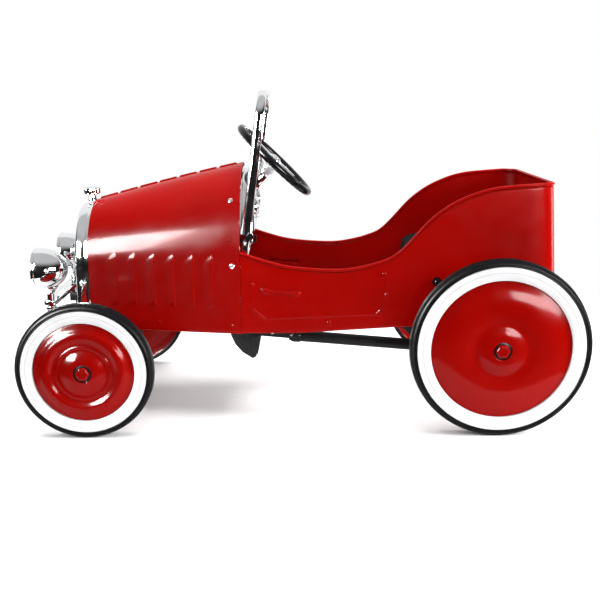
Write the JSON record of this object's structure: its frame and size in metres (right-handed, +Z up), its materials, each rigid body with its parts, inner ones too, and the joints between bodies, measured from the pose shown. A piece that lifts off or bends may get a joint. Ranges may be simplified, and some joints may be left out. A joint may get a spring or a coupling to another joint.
{
  "type": "pedal car",
  "caption": "Child's ride-on pedal car with an arched hood, open cockpit, seat, steering wheel, whitewall disc wheels and a crank rear axle.",
  "frame": {"origin": "on the floor, under the middle of the car's bounding box", "axes": "+Z up, -X towards the front of the car, +Y towards its right-hand side"},
  "size_m": [0.8798, 0.418, 0.5243],
  "materials": {
    "body_paint": "glossy deep red enamel",
    "chrome_trim": "polished chrome",
    "dash_plate": "polished bright plate",
    "black_steel": "satin black paint",
    "zinc_steel": "bright zinc",
    "grey_plastic": "satin grey",
    "tyre_rubber": "black solid rubber, satin",
    "whitewall_rubber": "white rubber, satin",
    "wheel_grip": "black, semi-gloss",
    "pedal_rubber": "black, satin",
    "seat_black": "black leatherette, satin",
    "lens_glass": "clear glass",
    "grille_mesh": "bright mesh"
  },
  "bodies": {
    "chassis": {"hood": "body_paint", "body_side_left": "body_paint", "body_side_right": "body_paint", "body_rear": "body_paint", "seat_pan": "body_paint", "seat_cushion": "seat_black", "dashboard": "dash_plate", "radiator_shell": "chrome_trim", "radiator_grille": "grille_mesh", "radiator_cap": "chrome_trim", "windscreen_frame": "chrome_trim", "windscreen_clamp_left": "chrome_trim", "windscreen_clamp_right": "chrome_trim", "headlight_left": "chrome_trim", "headlight_lens_left": "lens_glass", "headlight_right": "chrome_trim", "headlight_lens_right": "lens_glass", "headlight_bar": "chrome_trim", "chassis_rail_left": "black_steel", "chassis_rail_right": "black_steel", "chassis_cross_member": "black_steel", "chassis_cross_rear": "black_steel", "column_support": "black_steel", "front_axle_beam": "black_steel", "pedal_shaft": "zinc_steel", "axle_bracket_left": "black_steel", "axle_bracket_right": "black_steel"},
    "steering": {"steering_column": "zinc_steel", "column_sleeve": "grey_plastic", "steering_wheel_rim": "wheel_grip", "steering_wheel_spokes": "chrome_trim"},
    "knuckle_left": {"knuckle_left": "black_steel", "kingpin_left": "zinc_steel"},
    "knuckle_right": {"knuckle_right": "black_steel", "kingpin_right": "zinc_steel"},
    "tie_rod": {"tie_rod": "black_steel"},
    "wheel_front_left": {"tyre_front_left": "tyre_rubber", "disc_front_left": "body_paint", "hub_cap_front_left": "body_paint"},
    "wheel_front_right": {"tyre_front_right": "tyre_rubber", "disc_front_right": "body_paint", "hub_cap_front_right": "body_paint"},
    "rear_axle": {"crank_left": "zinc_steel", "crank_centre": "zinc_steel", "crank_right": "zinc_steel", "tyre_rear_left": "tyre_rubber", "disc_rear_left": "body_paint", "hub_cap_rear_left": "body_paint", "tyre_rear_right": "tyre_rubber", "disc_rear_right": "body_paint", "hub_cap_rear_right": "body_paint"},
    "pedal_left": {"pedal_arm_left": "black_steel", "pedal_pad_left": "pedal_rubber"},
    "pedal_right": {"pedal_arm_right": "black_steel", "pedal_pad_right": "pedal_rubber"},
    "rod_left": {"push_rod_left": "black_steel"},
    "rod_right": {"push_rod_right": "black_steel"}
  },
  "joints": [
    {"name": "steering_turn", "type": "hinge", "parent": "chassis", "child": "steering", "pos_m": [-0.04435, 0, 0.41], "axis": [0.693, 0, 0.721], "range_deg": [-25, 25]},
    {"name": "knuckle_left_turn", "type": "hinge", "parent": "chassis", "child": "knuckle_left", "pos_m": [-0.33375, -0.15, 0.1062], "axis": [0, 0, 1], "range_deg": [-25, 25]},
    {"name": "knuckle_right_turn", "type": "hinge", "parent": "chassis", "child": "knuckle_right", "pos_m": [-0.33375, 0.15, 0.1062], "axis": [0, 0, 1], "range_deg": [-25, 25]},
    {"name": "tie_rod_pivot", "type": "hinge", "parent": "knuckle_left", "child": "tie_rod", "pos_m": [-0.29775, -0.15, 0.096], "axis": [0, 0, 1], "range_deg": [-25, 25]},
    {"name": "front_wheel_left_spin", "type": "hinge", "parent": "knuckle_left", "child": "wheel_front_left", "pos_m": [-0.33375, -0.186, 0.1062], "axis": [0, 1, 0], "continuous": true},
    {"name": "front_wheel_right_spin", "type": "hinge", "parent": "knuckle_right", "child": "wheel_front_right", "pos_m": [-0.33375, 0.186, 0.1062], "axis": [0, 1, 0], "continuous": true},
    {"name": "rear_axle_spin", "type": "hinge", "parent": "chassis", "child": "rear_axle", "pos_m": [0.30125, 0, 0.1387], "axis": [0, 1, 0], "continuous": true},
    {"name": "pedal_left_swing", "type": "hinge", "parent": "chassis", "child": "pedal_left", "pos_m": [-0.108, -0.065, 0.2565], "axis": [0, 1, 0], "range_deg": [-17, 17]},
    {"name": "pedal_right_swing", "type": "hinge", "parent": "chassis", "child": "pedal_right", "pos_m": [-0.108, 0.065, 0.2565], "axis": [0, 1, 0], "range_deg": [-17, 17]},
    {"name": "rod_left_pivot", "type": "hinge", "parent": "pedal_left", "child": "rod_left", "pos_m": [-0.076, -0.07, 0.133], "axis": [0, 1, 0], "range_deg": [-17, 17]},
    {"name": "rod_right_pivot", "type": "hinge", "parent": "pedal_right", "child": "rod_right", "pos_m": [-0.076, 0.07, 0.133], "axis": [0, 1, 0], "range_deg": [-17, 17]}
  ],
  "couplings": [
    {"joint": "knuckle_left_turn", "follows": "steering_turn", "ratio": 1},
    {"joint": "knuckle_right_turn", "follows": "steering_turn", "ratio": 1},
    {"joint": "tie_rod_pivot", "follows": "steering_turn", "ratio": -1},
    {"joint": "pedal_right_swing", "follows": "pedal_left_swing", "ratio": -1},
    {"joint": "rod_left_pivot", "follows": "pedal_left_swing", "ratio": -1},
    {"joint": "rod_right_pivot", "follows": "pedal_left_swing", "ratio": 1}
  ]
}
